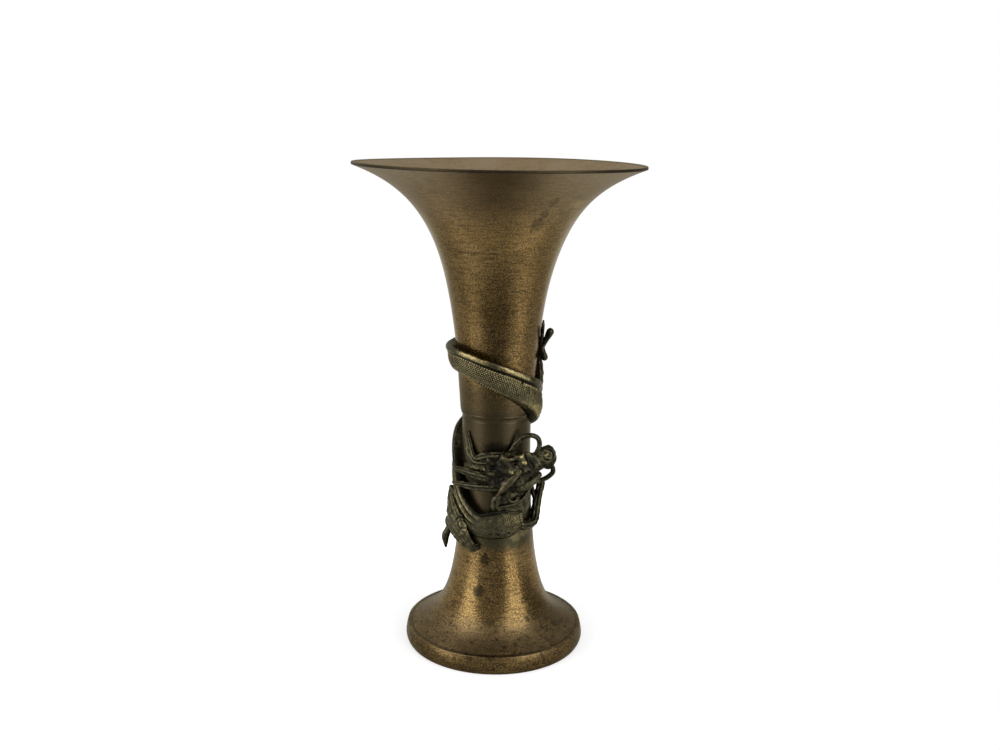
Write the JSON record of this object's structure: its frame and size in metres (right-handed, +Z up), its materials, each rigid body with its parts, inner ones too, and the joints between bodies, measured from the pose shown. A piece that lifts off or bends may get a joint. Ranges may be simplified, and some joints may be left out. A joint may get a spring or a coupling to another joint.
{
  "type": "bronze gu vase",
  "caption": "Gu-form bronze vase with a wide trumpet mouth, a ringed waist, a bell foot and a scaled dragon in high relief wound round the stem.",
  "frame": {"origin": "centre of the foot's lower face, on the vase's axis", "axes": "+Z up along the vase's axis towards the mouth, -Y towards the front, where the dragon's head is, +X to the right of that view"},
  "size_m": [0.174, 0.174, 0.3],
  "materials": {
    "vessel_bronze": "aged satin bronze with a fine granular sparkle",
    "dragon_bronze": "dull olive-brown bronze, rubbed brighter on the ridges",
    "plate_bronze": "dark unpolished bronze"
  },
  "bodies": {
    "root": {"trumpet": "vessel_bronze", "waist_ring": "vessel_bronze", "stem_foot": "vessel_bronze", "base_plate": "plate_bronze", "tail": "dragon_bronze", "upper_coil": "dragon_bronze", "back_coil": "dragon_bronze", "lower_coil": "dragon_bronze", "neck": "dragon_bronze", "head": "dragon_bronze", "lower_jaw": "dragon_bronze", "cheek_curl": "dragon_bronze", "cheek_spikes": "dragon_bronze", "upper_whisker": "dragon_bronze", "lower_whisker": "dragon_bronze", "upper_horn": "dragon_bronze", "lower_horn": "dragon_bronze", "mane_locks": "dragon_bronze", "eyes": "dragon_bronze", "hind_leg_right": "dragon_bronze", "hind_paw_right": "dragon_bronze", "hind_leg_left": "dragon_bronze", "hind_paw_left": "dragon_bronze", "foreleg_left": "dragon_bronze", "fore_claw_left": "dragon_bronze", "foreleg_right": "dragon_bronze", "fore_claw_right": "dragon_bronze", "coil_pins": "dragon_bronze"}
  },
  "joints": []
}
